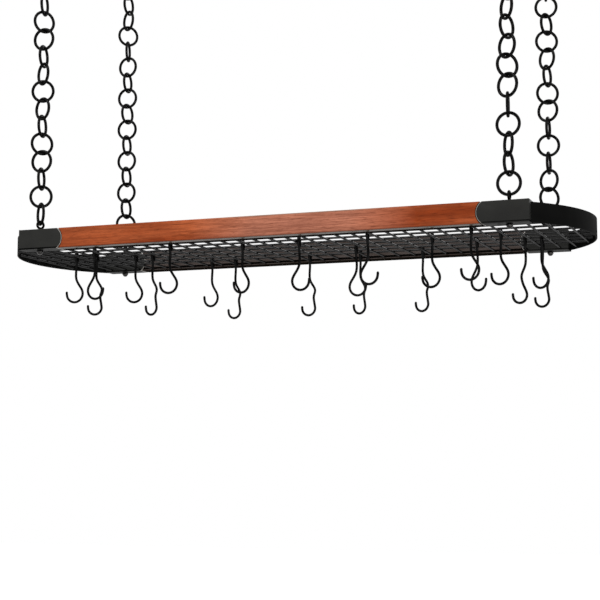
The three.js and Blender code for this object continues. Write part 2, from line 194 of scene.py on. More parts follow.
def new_group(name, inputs, outputs):
    """A shader node group with float inputs, each with its default, and float outputs."""
    group = bpy.data.node_groups.new(name, "ShaderNodeTree")
    for label, value in inputs:
        socket = group.interface.new_socket(label, in_out="INPUT", socket_type="NodeSocketFloat")
        socket.default_value = value
    for label in outputs:
        group.interface.new_socket(label, in_out="OUTPUT", socket_type="NodeSocketFloat")
    return group, group.nodes.new("NodeGroupInput"), group.nodes.new("NodeGroupOutput")


def noise(group, coords, scale, detail=4.0, roughness=0.55, distortion=0.0):
    """A noise texture on coords. scale is a number or a socket."""
    texture = group.nodes.new("ShaderNodeTexNoise")
    group.links.new(coords, texture.inputs["Vector"])
    if isinstance(scale, (int, float)):
        texture.inputs["Scale"].default_value = scale
    else:
        group.links.new(scale, texture.inputs["Scale"])
    texture.inputs["Detail"].default_value = detail
    texture.inputs["Roughness"].default_value = roughness
    texture.inputs["Distortion"].default_value = distortion
    return texture.outputs["Fac"]


def stretch(group, coords, amounts):
    """Coordinates scaled along x, y and z, so that a pattern runs along the piece."""
    mapping = group.nodes.new("ShaderNodeMapping")
    group.links.new(coords, mapping.inputs["Vector"])
    mapping.inputs["Scale"].default_value = amounts
    return mapping.outputs["Vector"]


def remap(group, value, low, high, to_low=0.0, to_high=1.0):
    """Value taken from low..high to to_low..to_high, and held at the ends."""
    node = group.nodes.new("ShaderNodeMapRange")
    group.links.new(value, node.inputs["Value"])
    node.inputs["From Min"].default_value = low
    node.inputs["From Max"].default_value = high
    node.inputs["To Min"].default_value = to_low
    node.inputs["To Max"].default_value = to_high
    return node.outputs["Result"]


def combine(group, operation, first, second):
    """One maths step on two sockets or numbers."""
    node = group.nodes.new("ShaderNodeMath")
    node.operation = operation
    for place, value in enumerate((first, second)):
        if isinstance(value, (int, float)):
            node.inputs[place].default_value = value
        else:
            group.links.new(value, node.inputs[place])
    return node.outputs[0]


# %% [markdown]
# ### Wood grain
# The rails are a reddish brown hardwood, stained and lacquered. Its figure is quiet: long soft bands
# a few centimetres apart, fine fibres, and short dark pores, all drawn out along the rail. Noises
# stretched along x make them. The group also puts out places. The faces into the rack are darker. The
# faces down are darkened with painted shade, and the front rail keeps its lacquer there only on a strip
# along its outer edge, with a painted pale reflection mixed in. Painted shade darkens the cut faces in
# the rebates and grooves as well. The upper edge takes a painted pale highlight half way along, where
# the board is paler too, and painted shade darkens the face towards the lower edge.

# %% Grain group
grain, grain_in, grain_out = new_group(
    "wood grain",
    [("Band scale", 26.0), ("Fibre scale", 260.0)],
    [
        "Bands", "Fibres", "Pores", "Inner face", "Underside", "Sheen strip", "Cut faces", "Worn edges",
        "Edge shade", "Middle", "Ends",
    ],
)
grain_place = grain.nodes.new("ShaderNodeTexCoord").outputs["Object"]
band_coords = stretch(grain, grain_place, (0.16, 1.0, 1.0))
fibre_coords = stretch(grain, grain_place, (0.05, 1.0, 1.0))
pore_coords = stretch(grain, grain_place, (0.09, 1.0, 1.0))
bands = noise(grain, band_coords, grain_in.outputs["Band scale"], 5.0, 0.5, 0.6)
fibres = noise(grain, fibre_coords, grain_in.outputs["Fibre scale"], 6.0, 0.65)
pores = noise(grain, pore_coords, 640.0, 3.0, 0.6)
grain.links.new(remap(grain, bands, 0.34, 0.66), grain_out.inputs["Bands"])
grain.links.new(remap(grain, fibres, 0.4, 0.62), grain_out.inputs["Fibres"])
grain.links.new(remap(grain, pores, 0.52, 0.68), grain_out.inputs["Pores"])

INNER_DARK_WRAP = 1.5 * MM
INNER_DARK_BLUR = 0.5 * MM
UNDERSIDE_WRAP = 0.5 * MM
HALF_BLUR = 0.2 * MM
PALE_PLACE = 80 * MM
PALE_REACH = (90 * MM, 215 * MM)
END_REACH = (200 * MM, 420 * MM)
apart = grain.nodes.new("ShaderNodeSeparateXYZ")
grain.links.new(grain_place, apart.inputs["Vector"])
from_middle = combine(grain, "ABSOLUTE", apart.outputs["Y"], 0.0)
dark_edge = inner_half_width + INNER_DARK_WRAP
inner_face = remap(grain, from_middle, dark_edge - INNER_DARK_BLUR, dark_edge, 1.0, 0.0)
grain.links.new(inner_face, grain_out.inputs["Inner face"])
# Painted shade on the faces down, from the rail's underside.
shade_top = rail_bottom + UNDERSIDE_WRAP
underside = remap(grain, apart.outputs["Z"], shade_top - HALF_BLUR, shade_top + HALF_BLUR, 1.0, 0.0)
grain.links.new(underside, grain_out.inputs["Underside"])
from_pale = combine(grain, "SUBTRACT", apart.outputs["X"], PALE_PLACE)
along = combine(grain, "ABSOLUTE", from_pale, 0.0)
pale_middle = remap(grain, along, *PALE_REACH, 1.0, 0.0)
grain.links.new(pale_middle, grain_out.inputs["Middle"])

CUT_DEPTH = 0.6 * MM
HIGHLIGHT_BAND = 1.7 * MM
EDGE_SHADE = 3.8 * MM
SHEEN_WIDTH = 16 * MM
SHEEN_BLUR = 1 * MM
across = combine(grain, "SUBTRACT", from_middle, inner_half_width + rail_thickness / 2)
from_axis = combine(grain, "ABSOLUTE", across, 0.0)
from_bottom = combine(grain, "SUBTRACT", apart.outputs["Z"], rail_bottom)
from_top = combine(grain, "SUBTRACT", rail_bottom + rail_height, apart.outputs["Z"])
# Painted shade on the cut faces in the rebates and grooves.
cut_deep = rail_thickness / 2 - CUT_DEPTH
inside_y = remap(grain, from_axis, cut_deep - HALF_BLUR, cut_deep + HALF_BLUR, 1.0, 0.0)
nearest_end = combine(grain, "MINIMUM", from_bottom, from_top)
inside_z = remap(grain, nearest_end, CUT_DEPTH - HALF_BLUR, CUT_DEPTH + HALF_BLUR)
grain.links.new(combine(grain, "MULTIPLY", inside_y, inside_z), grain_out.inputs["Cut faces"])
# A painted pale highlight along the upper edge, half way along.
upper_highlight = remap(grain, from_top, HIGHLIGHT_BAND, HIGHLIGHT_BAND + 2 * HALF_BLUR, 1.0, 0.0)
grain.links.new(combine(grain, "MULTIPLY", upper_highlight, pale_middle), grain_out.inputs["Worn edges"])
# Painted shade towards the lower edge.
grain.links.new(remap(grain, from_bottom, 0.0, EDGE_SHADE, 1.0, 0.0), grain_out.inputs["Edge shade"])
# The strip along the front rail's underside keeps its lacquer and takes a painted pale reflection.
sheen_end = front_low.y + SHEEN_WIDTH
front_half = remap(grain, apart.outputs["Y"], sheen_end, sheen_end + SHEEN_BLUR, 1.0, 0.0)
grain.links.new(combine(grain, "MULTIPLY", underside, front_half), grain_out.inputs["Sheen strip"])
grain.links.new(remap(grain, along, *END_REACH), grain_out.inputs["Ends"])

# %% [markdown]
# ### Orange peel
# Powder coat flows out into tiny soft bumps, about half a millimetre apart on the caps and finer on
# drawn wire. The group puts out their height, and a slow cloud that varies the gloss a little.

# %% Orange peel group
peel, peel_in, peel_out = new_group(
    "orange peel",
    [("Bump scale", 1500.0), ("Cloud scale", 18.0)],
    ["Height", "Cloud"],
)
peel_place = peel.nodes.new("ShaderNodeTexCoord").outputs["Object"]
peel_bumps = noise(peel, peel_place, peel_in.outputs["Bump scale"], 2.0, 0.5)
peel_cloud = noise(peel, peel_place, peel_in.outputs["Cloud scale"], 3.0, 0.5)
peel.links.new(peel_bumps, peel_out.inputs["Height"])
peel.links.new(remap(peel, peel_cloud, 0.3, 0.7), peel_out.inputs["Cloud"])

# %% [markdown]
# ### Fold shadow
# The caps are folded sheet. Just above the lower fold a painted shadow, a darker colour with less coat,
# draws a dark line along the foot of each upright face.

# %% Fold group
FOLD_HEIGHT = 3 * MM
FOLD_BLUR = 0.5 * MM
fold, fold_in, fold_out = new_group("fold shadow", [], ["Fold"])
fold_apart = fold.nodes.new("ShaderNodeSeparateXYZ")
fold_turn = fold.nodes.new("ShaderNodeSeparateXYZ")
fold.links.new(fold.nodes.new("ShaderNodeTexCoord").outputs["Object"], fold_apart.inputs["Vector"])
fold.links.new(fold.nodes.new("ShaderNodeNewGeometry").outputs["Normal"], fold_turn.inputs["Vector"])
fold_top = rail_bottom + FOLD_HEIGHT
fold_low = remap(fold, fold_apart.outputs["Z"], fold_top - FOLD_BLUR, fold_top, 1.0, 0.0)
fold_flat = combine(fold, "ABSOLUTE", fold_turn.outputs["Z"], 0.0)
fold_upright = remap(fold, fold_flat, 0.2, 0.5, 1.0, 0.0)
fold.links.new(combine(fold, "MULTIPLY", fold_low, fold_upright), fold_out.inputs["Fold"])

# %% Material helpers


def new_finish(name):
    """A new material, its Principled shader and its node tree."""
    material = bpy.data.materials.new(name)
    material.use_nodes = True
    tree = material.node_tree
    return material, tree.nodes["Principled BSDF"], tree


def place_group(tree, group, **values):
    """A group in a material's tree, with its own values on the inputs."""
    node = tree.nodes.new("ShaderNodeGroup")
    node.node_tree = group
    for label, value in values.items():
        node.inputs[label.replace("_", " ")].default_value = value
    return node


def colour_between(tree, mask, first, second):
    """A colour that goes from first, where the mask is 0, to second, where it is 1."""
    mix = tree.nodes.new("ShaderNodeMix")
    mix.data_type = "RGBA"
    tree.links.new(mask, mix.inputs["Factor"])
    for socket, colour in ((mix.inputs[6], first), (mix.inputs[7], second)):
        if isinstance(colour, tuple):
            socket.default_value = (*colour, 1)
        else:
            tree.links.new(colour, socket)
    return mix.outputs[2]


def add_bump(tree, shader, height, distance, strength):
    """A bump of the given height in metres on the shader's normal."""
    bump = tree.nodes.new("ShaderNodeBump")
    bump.inputs["Distance"].default_value = distance
    bump.inputs["Strength"].default_value = strength
    tree.links.new(height, bump.inputs["Height"])
    tree.links.new(bump.outputs["Normal"], shader.inputs["Normal"])


# %% [markdown]
# ### The wood
# The body of the stain and its paler bands come first. The middle, the ends and the dark lines are
# then laid over it in turn, each by its own share, and then the painted shade towards the lower edge,
# the painted highlight on the upper edge, the darker inner faces, the painted shade on the faces down
# and in the recesses, and the strip's painted pale reflection. A thin clear coat over a fairly rough
# base gives the soft sheen of satin lacquer.

# %% Wood finish
WOOD_DEEP = (0.290, 0.050, 0.013)
WOOD_PALE = (0.590, 0.148, 0.053)
WOOD_MIDDLE = (0.540, 0.225, 0.150)
WOOD_ENDS = (0.240, 0.040, 0.010)
WOOD_LINE = (0.090, 0.016, 0.006)
WOOD_INNER = (0.058, 0.044, 0.038)
WOOD_INNER_PALE = (0.096, 0.080, 0.074)
# Painted shade for the faces down and the cut faces in the recesses.
WOOD_SHADE = (0.012, 0.009, 0.007)
# A painted pale highlight on the upper edge, and a painted reflection on the strip.
WOOD_HIGHLIGHT = (0.300, 0.215, 0.160)

LACQUER_FACE = 0.05
LACQUER_STRIP = 0.4

wood, wood_shader, wood_tree = new_finish("stained hardwood")
wood_grain = place_group(wood_tree, grain, Band_scale=26.0, Fibre_scale=260.0)
banded = colour_between(wood_tree, wood_grain.outputs["Bands"], WOOD_DEEP, WOOD_PALE)
inner = colour_between(wood_tree, wood_grain.outputs["Fibres"], WOOD_INNER, WOOD_INNER_PALE)
wood_colour = banded
# The lower edge, the faces down and the cut faces take painted shade, the upper edge a painted highlight,
# and the strip along the front rail's underside a painted pale reflection.
for place, colour, share in (
    ("Middle", WOOD_MIDDLE, 0.75), ("Ends", WOOD_ENDS, 0.35), ("Fibres", WOOD_LINE, 0.46),
    ("Pores", WOOD_LINE, 0.5), ("Edge shade", WOOD_LINE, 0.9), ("Worn edges", WOOD_HIGHLIGHT, 0.5),
    ("Inner face", inner, 1.0), ("Underside", WOOD_SHADE, 1.0), ("Cut faces", WOOD_SHADE, 1.0),
    ("Sheen strip", WOOD_HIGHLIGHT, 0.3),
):
    mask = combine(wood_tree, "MULTIPLY", wood_grain.outputs[place], share)
    wood_colour = colour_between(wood_tree, mask, wood_colour, colour)
wood_tree.links.new(wood_colour, wood_shader.inputs["Base Color"])
lacquer = remap(wood_tree, wood_grain.outputs["Underside"], 0.0, 1.0, LACQUER_FACE, 0.0)
strip = combine(wood_tree, "MULTIPLY", wood_grain.outputs["Sheen strip"], LACQUER_STRIP)
wood_tree.links.new(combine(wood_tree, "ADD", lacquer, strip), wood_shader.inputs["Coat Weight"])
wood_shader.inputs["Roughness"].default_value = 0.45
wood_shader.inputs["Specular IOR Level"].default_value = 0.0
wood_shader.inputs["Coat Roughness"].default_value = 0.2
add_bump(wood_tree, wood_shader, wood_grain.outputs["Fibres"], 0.06 * MM, 0.5)

# %% [markdown]
# ### Painted metal
# The caps are a dark graphite powder coat. The straps are nearly black, the chains and hooks are a
# satin black, and the grid's paint is a little paler. They differ in colour, gloss and how coarse the
# coat's bumps are, so one function makes all of them. The sheen comes from a thin clear coat alone,
# so that edges seen at a low angle stay dark. The domed nuts are bare plated steel.

# %% Metal finishes
# The colour of the painted shadow above the caps' lower fold.
FOLD_SHADOW_COLOUR = (0.003, 0.003, 0.003)
CLOUD_SCALE = 18.0
ROUGHNESS_CLOUD = 0.05
PEEL_STRENGTH = 0.6


def painted(name, colour, cloud_colour, roughness, sheen, bump_scale, bump_height, folded=False):
    """Paint on metal: a colour, a gloss and a sheen that cloud slightly, and orange peel."""
    material, shader, tree = new_finish(name)
    peel_node = place_group(tree, peel, Bump_scale=bump_scale, Cloud_scale=CLOUD_SCALE)
    cloud = peel_node.outputs["Cloud"]
    tint = colour_between(tree, cloud, colour, cloud_colour)
    gloss = remap(tree, cloud, 0.0, 1.0, roughness - ROUGHNESS_CLOUD, roughness + ROUGHNESS_CLOUD)
    coat = remap(tree, cloud, 0.0, 1.0, sheen * 0.8, sheen * 1.2)
    # Painted shadow above the lower fold: a darker colour and less coat.
    if folded:
        fold_shadow_mask = place_group(tree, fold).outputs["Fold"]
        tint = colour_between(tree, fold_shadow_mask, tint, FOLD_SHADOW_COLOUR)
        coat = combine(tree, "SUBTRACT", coat, combine(tree, "MULTIPLY", fold_shadow_mask, sheen))
        coat = combine(tree, "MAXIMUM", coat, 0.0)
    tree.links.new(tint, shader.inputs["Base Color"])
    tree.links.new(gloss, shader.inputs["Roughness"])
    tree.links.new(coat, shader.inputs["Coat Weight"])
    shader.inputs["Coat Roughness"].default_value = roughness * 0.7
    shader.inputs["Specular IOR Level"].default_value = 0.0
    add_bump(tree, shader, peel_node.outputs["Height"], bump_height, PEEL_STRENGTH)
    return material


cap_paint = painted(
    "graphite powder coat", (0.017, 0.017, 0.016), (0.022, 0.022, 0.020), roughness=0.45, sheen=0.2,
    bump_scale=1500.0, bump_height=0.05 * MM, folded=True,
)
strap_paint = painted(
    "black powder coat", (0.0022, 0.0022, 0.0020), (0.0036, 0.0036, 0.0033), roughness=0.45, sheen=0.08,
    bump_scale=1700.0, bump_height=0.04 * MM,
)
wire_paint = painted(
    "satin black paint", (0.0022, 0.0021, 0.0021), (0.0034, 0.0032, 0.0032), roughness=0.32, sheen=0.12,
    bump_scale=2500.0, bump_height=0.02 * MM,
)
grid_paint = painted(
    "dull grid paint", (0.0055, 0.0053, 0.0053), (0.0090, 0.0087, 0.0087), roughness=0.35, sheen=0.2,
    bump_scale=2000.0, bump_height=0.03 * MM,
)

nut_plating, nut_shader, nut_tree = new_finish("dark plating")
nut_peel = place_group(nut_tree, peel, Bump_scale=3000.0, Cloud_scale=CLOUD_SCALE)
NUT_COLOUR, NUT_CLOUD = (0.024, 0.023, 0.022), (0.036, 0.035, 0.034)
nut_tint = colour_between(nut_tree, nut_peel.outputs["Cloud"], NUT_COLOUR, NUT_CLOUD)
nut_tree.links.new(nut_tint, nut_shader.inputs["Base Color"])
nut_shader.inputs["Metallic"].default_value = 1.0
nut_shader.inputs["Roughness"].default_value = 0.18
add_bump(nut_tree, nut_shader, nut_peel.outputs["Height"], 0.01 * MM, PEEL_STRENGTH)

# The ground slope of the tongue's edge is painted pale grey: a painted highlight.
tongue_highlight, tongue_highlight_shader, tongue_highlight_tree = new_finish("painted edge highlight")
tongue_highlight_peel = place_group(tongue_highlight_tree, peel, Bump_scale=2500.0, Cloud_scale=60.0)
HIGHLIGHT_GREY, HIGHLIGHT_PALE = (0.24, 0.22, 0.20), (0.40, 0.38, 0.34)
highlight_tint = colour_between(tongue_highlight_tree, tongue_highlight_peel.outputs["Cloud"], HIGHLIGHT_GREY, HIGHLIGHT_PALE)
tongue_highlight_tree.links.new(highlight_tint, tongue_highlight_shader.inputs["Base Color"])
tongue_highlight_shader.inputs["Roughness"].default_value = 0.45

# %% [markdown]
# ## Shaping helpers
# Every piece starts as a bmesh. When it is done, show() turns it into an object at the origin,
# marks its sharp edges, hangs it on the empty of the body it rides on, and hides the node it stands for.

# %% Show a finished mesh
SHARP_ANGLE = math.radians(32)
FLAT_ANGLE = math.radians(0.5)
MERGE = 0.01 * MM
NEAR = 0.02 * MM


def show(name, shape, material, node, body, edge_material=None):
    """Makes the object for a finished bmesh, and ties it to its node and body."""
    shape.normal_update()
    for face in shape.faces:
        face.smooth = True
    for edge in shape.edges:
        if len(edge.link_faces) == 2:
            edge.smooth = edge.calc_face_angle() < SHARP_ANGLE
    mesh = bpy.data.meshes.new(name)
    shape.to_mesh(mesh)
    shape.free()
    mesh.materials.append(material)
    if edge_material:
        mesh.materials.append(edge_material)
    piece = bpy.data.objects.new(name, mesh)
    bpy.context.scene.collection.objects.link(piece)
    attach(piece, body)
    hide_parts(node)
    return piece


def refined_copy(node):
    """A node's own mesh, merged and with its flat triangles dissolved, ready for its edges."""
    shape = bmesh.new()
    shape.from_mesh(frame["nodes"][node].data)
    bmesh.ops.remove_doubles(shape, verts=shape.verts, dist=MERGE)
    bmesh.ops.dissolve_limit(shape, angle_limit=FLAT_ANGLE, verts=shape.verts, edges=shape.edges)
    return shape


def roll_edges(shape, wanted, radius, segments=3, material=-1):
    """Rounds the edges for which wanted(edge) is true. The new faces may take another material."""
    edges = [edge for edge in shape.edges if len(edge.link_faces) == 2 and wanted(edge)]
    bmesh.ops.bevel(
        shape, geom=edges, offset=radius, segments=segments, profile=0.5,
        affect="EDGES", offset_type="OFFSET", material=material, clamp_overlap=True,
    )
    return len(edges)


# %% [markdown]
# ## Rails
# A rail is a planed board with its long edges eased by a sander. The node already has the right
# section, the rebates under the caps and the grooves for the grid, so the piece is a refined copy
# of it. Only its four long outer edges are rounded.

# %% Rails
RAIL_EASE = 1.6 * MM


def runs_along_x(edge):
    """True for an edge parallel to the rails."""
    span = edge.verts[0].co - edge.verts[1].co
    return abs(span.x) > 0.999 * span.length


def on_corner(edge, low, high, slack=NEAR):
    """True for an edge that lies on two of the box's y and z faces."""
    for vert in edge.verts:
        near_y = min(abs(vert.co.y - low.y), abs(vert.co.y - high.y)) < slack
        near_z = min(abs(vert.co.z - low.z), abs(vert.co.z - high.z)) < slack
        if not (near_y and near_z):
            return False
    return True


for node in ("front_rail", "back_rail"):
    low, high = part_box(node)
    board = refined_copy(node)
    count = roll_edges(board, lambda edge: runs_along_x(edge) and on_corner(edge, low, high), RAIL_EASE, 4)
    show(node + "_board", board, wood, node, "rack")
    print(node, "edges eased:", count)

# %% [markdown]
# ## End caps
# A cap is sheet steel, folded round the rail's end and welded. Its long edges take the bend radius
# of the fold, a little more than the wood's own. The cut edge of the tongue is ground back to a slope,
# which is painted pale grey as a painted highlight, a thin pale line. The other cuts are just broken.

# %% End caps
FOLD_RADIUS = 1.9 * MM
CUT_BREAK = 0.25 * MM
TONGUE_GRIND = 1 * MM
CAP_BODY = 50 * MM


def on_outside(edge, low, high, slack=NEAR):
    """True for an edge that lies on one of the cap's long outer faces."""
    for vert in edge.verts:
        near_y = min(abs(vert.co.y - low.y), abs(vert.co.y - high.y)) < slack
        near_z = min(abs(vert.co.z - low.z), abs(vert.co.z - high.z)) < slack
        if not (near_y or near_z):
            return False
    return edge.calc_face_angle() > math.radians(60)


def on_tongue(edge, low, high, slack=NEAR):
    """True for an outer edge of a tongue, which reaches in along an upright face."""
    for vert in edge.verts:
        near_y = min(abs(vert.co.y - low.y), abs(vert.co.y - high.y)) < slack
        if not near_y or abs(vert.co.x) > half_length - CAP_BODY:
            return False
    return not runs_along_x(edge)


for corner in CORNERS:
    node = "cap_" + corner
    low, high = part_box(node)
    sleeve = refined_copy(node)
    # The tongue's ground slope takes the second material, a painted highlight.
    count = roll_edges(sleeve, lambda edge: on_tongue(edge, low, high), TONGUE_GRIND, 2, material=1)
    roll_edges(sleeve, lambda edge: on_outside(edge, low, high) and not runs_along_x(edge), CUT_BREAK, 2)
    roll_edges(sleeve, lambda edge: runs_along_x(edge) and on_corner(edge, low, high), FOLD_RADIUS, 4)
    show(node + "_sleeve", sleeve, cap_paint, node, "rack", tongue_highlight)
    print(node, "tongue edges ground:", count)

# %% [markdown]
# ## End straps
# Flat bar, rolled to one arc. Spinning its section round the arc's centre gives the bend in one
# operator, at any fineness. The ends are then cut square where they meet the caps.

# %% The straps' arc
STRAP_THICKNESS = 3 * MM
rail_line = inner_half_width + rail_thickness / 2
strap_apex = strap_high.x - STRAP_THICKNESS / 2
strap_rise = strap_apex - half_length
strap_radius = (rail_line**2 + strap_rise**2) / (2 * strap_rise)
strap_centre = strap_apex - strap_radius
print("strap radius in mm:", round(strap_radius / MM, 1))

# %% Straps
STRAP_EASE = 0.5 * MM
STRAP_STEPS = 72
STRAP_OVERSHOOT = 1.06


def strap_shape(side):
    """The flat bar of one end. side is 1 for the right end and -1 for the left."""
    shape = bmesh.new()
    bmesh.ops.create_grid(shape, x_segments=1, y_segments=1, size=0.5)
    bmesh.ops.scale(shape, verts=shape.verts, vec=(STRAP_THICKNESS, strap_high.z - strap_low.z, 1))
    bmesh.ops.bevel(
        shape, geom=shape.verts[:], offset=STRAP_EASE, segments=3, profile=0.5,
        affect="VERTICES", material=-1,
    )
    bmesh.ops.delete(shape, geom=shape.faces[:], context="FACES_ONLY")
    bmesh.ops.rotate(shape, verts=shape.verts, matrix=Matrix.Rotation(math.pi / 2, 3, "X"))
    bmesh.ops.translate(
        shape, verts=shape.verts, vec=(strap_apex, 0, (strap_low.z + strap_high.z) / 2)
    )
    half_angle = math.asin(rail_line / strap_radius) * STRAP_OVERSHOOT
    centre = (strap_centre, 0, 0)
    bmesh.ops.rotate(
        shape, verts=shape.verts, cent=centre, matrix=Matrix.Rotation(-half_angle, 3, "Z")
    )
    bmesh.ops.spin(
        shape, geom=shape.verts[:] + shape.edges[:], cent=centre, axis=(0, 0, 1),
        steps=STRAP_STEPS, angle=2 * half_angle, use_merge=False,
    )
    bmesh.ops.bisect_plane(
        shape, geom=shape.verts[:] + shape.edges[:] + shape.faces[:], dist=1e-6,
        plane_co=(half_length + CLEARANCE, 0, 0), plane_no=(1, 0, 0), clear_inner=True,
    )
    bmesh.ops.holes_fill(shape, edges=[edge for edge in shape.edges if edge.is_boundary])
    if side < 0:
        bmesh.ops.rotate(shape, verts=shape.verts, matrix=Matrix.Rotation(math.pi, 3, "Z"))
    bmesh.ops.recalc_face_normals(shape, faces=shape.faces)
    return shape


for side, end in ((-1, "left"), (1, "right")):
    show(f"end_strap_{end}_bar", strap_shape(side), strap_paint, f"end_strap_{end}", "rack")

# %% [markdown]
# ## Wire grid
# Straight drawn wires, welded where they cross: the cross wires below, the long ones on top. Each is
# a cylinder with enough sides to look round, and all of them are one piece, as the real grid is.

# %% Wire grid
GRID_WIRE = 4 * MM
GRID_HEIGHT = 4 * MM
WELD_SINK = 0.3 * MM
WIRE_SEAT = 5 * MM
CROSS_WIRE_COUNT = 35
CROSS_WIRE_END_GAP = 27 * MM
LONG_WIRE_COUNT = 7
WIRE_SIDES = 10
wire_radius = GRID_WIRE / 2
strap_inside = strap_radius - STRAP_THICKNESS / 2
cross_pitch = 2 * (strap_centre + strap_inside - CROSS_WIRE_END_GAP) / (CROSS_WIRE_COUNT - 1)
long_pitch = 2 * inner_half_width / (LONG_WIRE_COUNT + 1)
cap_start = -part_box("cap_front_left")[1].x
long_wire_height = rail_bottom + GRID_HEIGHT + GRID_WIRE - WELD_SINK


def add_rod(shape, middle_point, length, axis, radius, sides=WIRE_SIDES):
    """A closed round rod with its middle at a point, along x or y."""
    turn = Matrix.Rotation(math.pi / 2, 4, "Y" if axis == "x" else "X")
    bmesh.ops.create_cone(
        shape, cap_ends=True, segments=sides, radius1=radius, radius2=radius, depth=length,
        matrix=Matrix.Translation(middle_point) @ turn,
    )


def cross_wire_reach(x):
    """Half the length of the cross wire at x: into the groove, up to the cap or to the strap."""
    edge = abs(x) + wire_radius
    if edge < cap_start - CLEARANCE:
        return inner_half_width + WIRE_SEAT
    if edge < half_length:
        return inner_half_width - cap_proud - CLEARANCE
    return math.sqrt(strap_inside**2 - (edge - strap_centre) ** 2) - CLEARANCE


def long_wire_reach(y):
    """Half the length of the long wire at y, up to the inside of the strap."""
    edge = abs(y) + wire_radius
    return strap_centre + math.sqrt(strap_inside**2 - edge**2) - CLEARANCE


grid = bmesh.new()
for place in range(CROSS_WIRE_COUNT):
    x = (place - (CROSS_WIRE_COUNT - 1) / 2) * cross_pitch
    add_rod(grid, (x, 0, rail_bottom + GRID_HEIGHT), 2 * cross_wire_reach(x), "y", wire_radius)
for row in range(LONG_WIRE_COUNT):
    y = (row - (LONG_WIRE_COUNT - 1) / 2) * long_pitch
    add_rod(grid, (0, y, long_wire_height), 2 * long_wire_reach(y), "x", wire_radius)
show("wire_grid_round", grid, grid_paint, "wire_grid", "rack")
print("cross pitch in mm:", round(cross_pitch / MM, 2), "long pitch:", round(long_pitch / MM, 2))

# %% [markdown]
# ## Rings
# A ring is a circle of wire spun once round. The same helper makes the chain's rings and the eyes of
# the bolts. It draws the ring upright, turned about the vertical.

# %% Ring helper
RING_STEPS = 48
RING_SIDES = 12
SEAM = 0.001 * MM


def add_ring(shape, centre, radius, wire, turn=0.0):
    """An upright closed ring, in the x-z plane before it is turned about z."""
    section = bmesh.new()
    bmesh.ops.create_circle(section, segments=RING_SIDES, radius=wire / 2)
    bmesh.ops.translate(section, verts=section.verts, vec=(radius, 0, 0))
    bmesh.ops.spin(
        section, geom=section.verts[:] + section.edges[:], cent=(0, 0, 0), axis=(0, 1, 0),
        steps=RING_STEPS, angle=2 * math.pi, use_merge=True,
    )
    bmesh.ops.remove_doubles(section, verts=section.verts, dist=SEAM)
    bmesh.ops.recalc_face_normals(section, faces=section.faces)
    bmesh.ops.rotate(section, verts=section.verts, matrix=Matrix.Rotation(turn, 3, "Z"))
    bmesh.ops.translate(section, verts=section.verts, vec=centre)
    part = bpy.data.meshes.new("ring part")
    section.to_mesh(part)
    section.free()
    shape.from_mesh(part)
    bpy.data.meshes.remove(part)


# %% [markdown]
# ## Chains
# Seventeen rings hang from each ceiling hook. No two neighbours lie in one plane, and the photograph
# shows how each is turned, so the turns are given one by one. The rings' own size is read from the
# bottom ring's box.

# %% Chains
RING_WIRE = 5.6 * MM
RING_TURNS = {
    "front_left": (90, 30, -20, 103, 56, 0, 99, -33, 20, -24, 100, 47, 0, 104, 20),
    "front_right": (90, -20, 40, 100, 10, 69, -50, 69, -37, 45, -26, 100, -4, 122, 80),
    "back_left": (90, -35, 43, 107, -6, 94, 2, 84, 2, 94, -2, 92, -2, 89, 45),
    "back_right": (90, 40, 100, 6, 72, 20, -37, 81, 24, -17, 92, 6, 92, -26, 42),
}
BOTTOM_RING_TURNS = {"front_left": -44}
ring_low, ring_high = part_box("bottom_ring_front_left")
ring_outside = ring_high.z - ring_low.z
ring_radius = (ring_outside - RING_WIRE) / 2
joined_pitch = ring_outside - 2 * RING_WIRE + WELD_SINK
for corner in CORNERS:
    for end, turn in (("top", 0), ("bottom", BOTTOM_RING_TURNS.get(corner, 0))):
        node = f"{end}_ring_{corner}"
        ring = bmesh.new()
        add_ring(ring, middle(node), ring_radius, RING_WIRE, math.radians(turn))
        show(node + "_round", ring, wire_paint, node, node)
    low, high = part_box("chain_" + corner)
    seat = middle("top_ring_" + corner)
    run = bmesh.new()
    for place, turn in enumerate(RING_TURNS[corner]):
        height = high.z - ring_outside / 2 - place * joined_pitch
        add_ring(run, (seat.x, seat.y, height), ring_radius, RING_WIRE, math.radians(turn))
    show(f"chain_{corner}_round", run, wire_paint, "chain_" + corner, "chain_" + corner)

# %% [markdown]
# ## Turned parts
# Collars, screws and domed nuts are round about a vertical axis, so each is a profile of a few
# points, spun once round. The profile is given from the bottom up, as radius and height.

# %% Lathe helper
LATHE_STEPS = 32


def add_turned(shape, profile, centre, steps=LATHE_STEPS):
    """A turned solid. The profile starts and ends on the axis."""
    part = bmesh.new()
    verts = [bmesh.ops.create_vert(part, co=(radius, 0, height))["vert"][0] for radius, height in profile]
    for lower, upper in zip(verts, verts[1:]):
        part.edges.new((lower, upper))
    bmesh.ops.spin(
        part, geom=part.verts[:] + part.edges[:], cent=(0, 0, 0), axis=(0, 0, 1),
        steps=steps, angle=2 * math.pi, use_merge=True,
    )
    bmesh.ops.remove_doubles(part, verts=part.verts, dist=SEAM)
    bmesh.ops.recalc_face_normals(part, faces=part.faces)
    bmesh.ops.translate(part, verts=part.verts, vec=centre)
    mesh = bpy.data.meshes.new("turned part")
    part.to_mesh(mesh)
    part.free()
    shape.from_mesh(mesh)
    bpy.data.meshes.remove(mesh)


def dome(radius, base, height, steps=6):
    """Points of a dome that bulges down, from the axis out to its rim, as radius and height."""
    points = []
    for step in range(steps + 1):
        angle = math.pi / 2 * step / steps
        points.append((radius * math.sin(angle), base - height * math.cos(angle)))
    return points


# %% [markdown]
# ## Eye bolts and domed nuts
# An eye bolt is wire bent to an eye and welded to a threaded shank, with a collar that sits on the
# cap. Below the rail a domed nut closes it. The nut has six flats with turned-down corners.

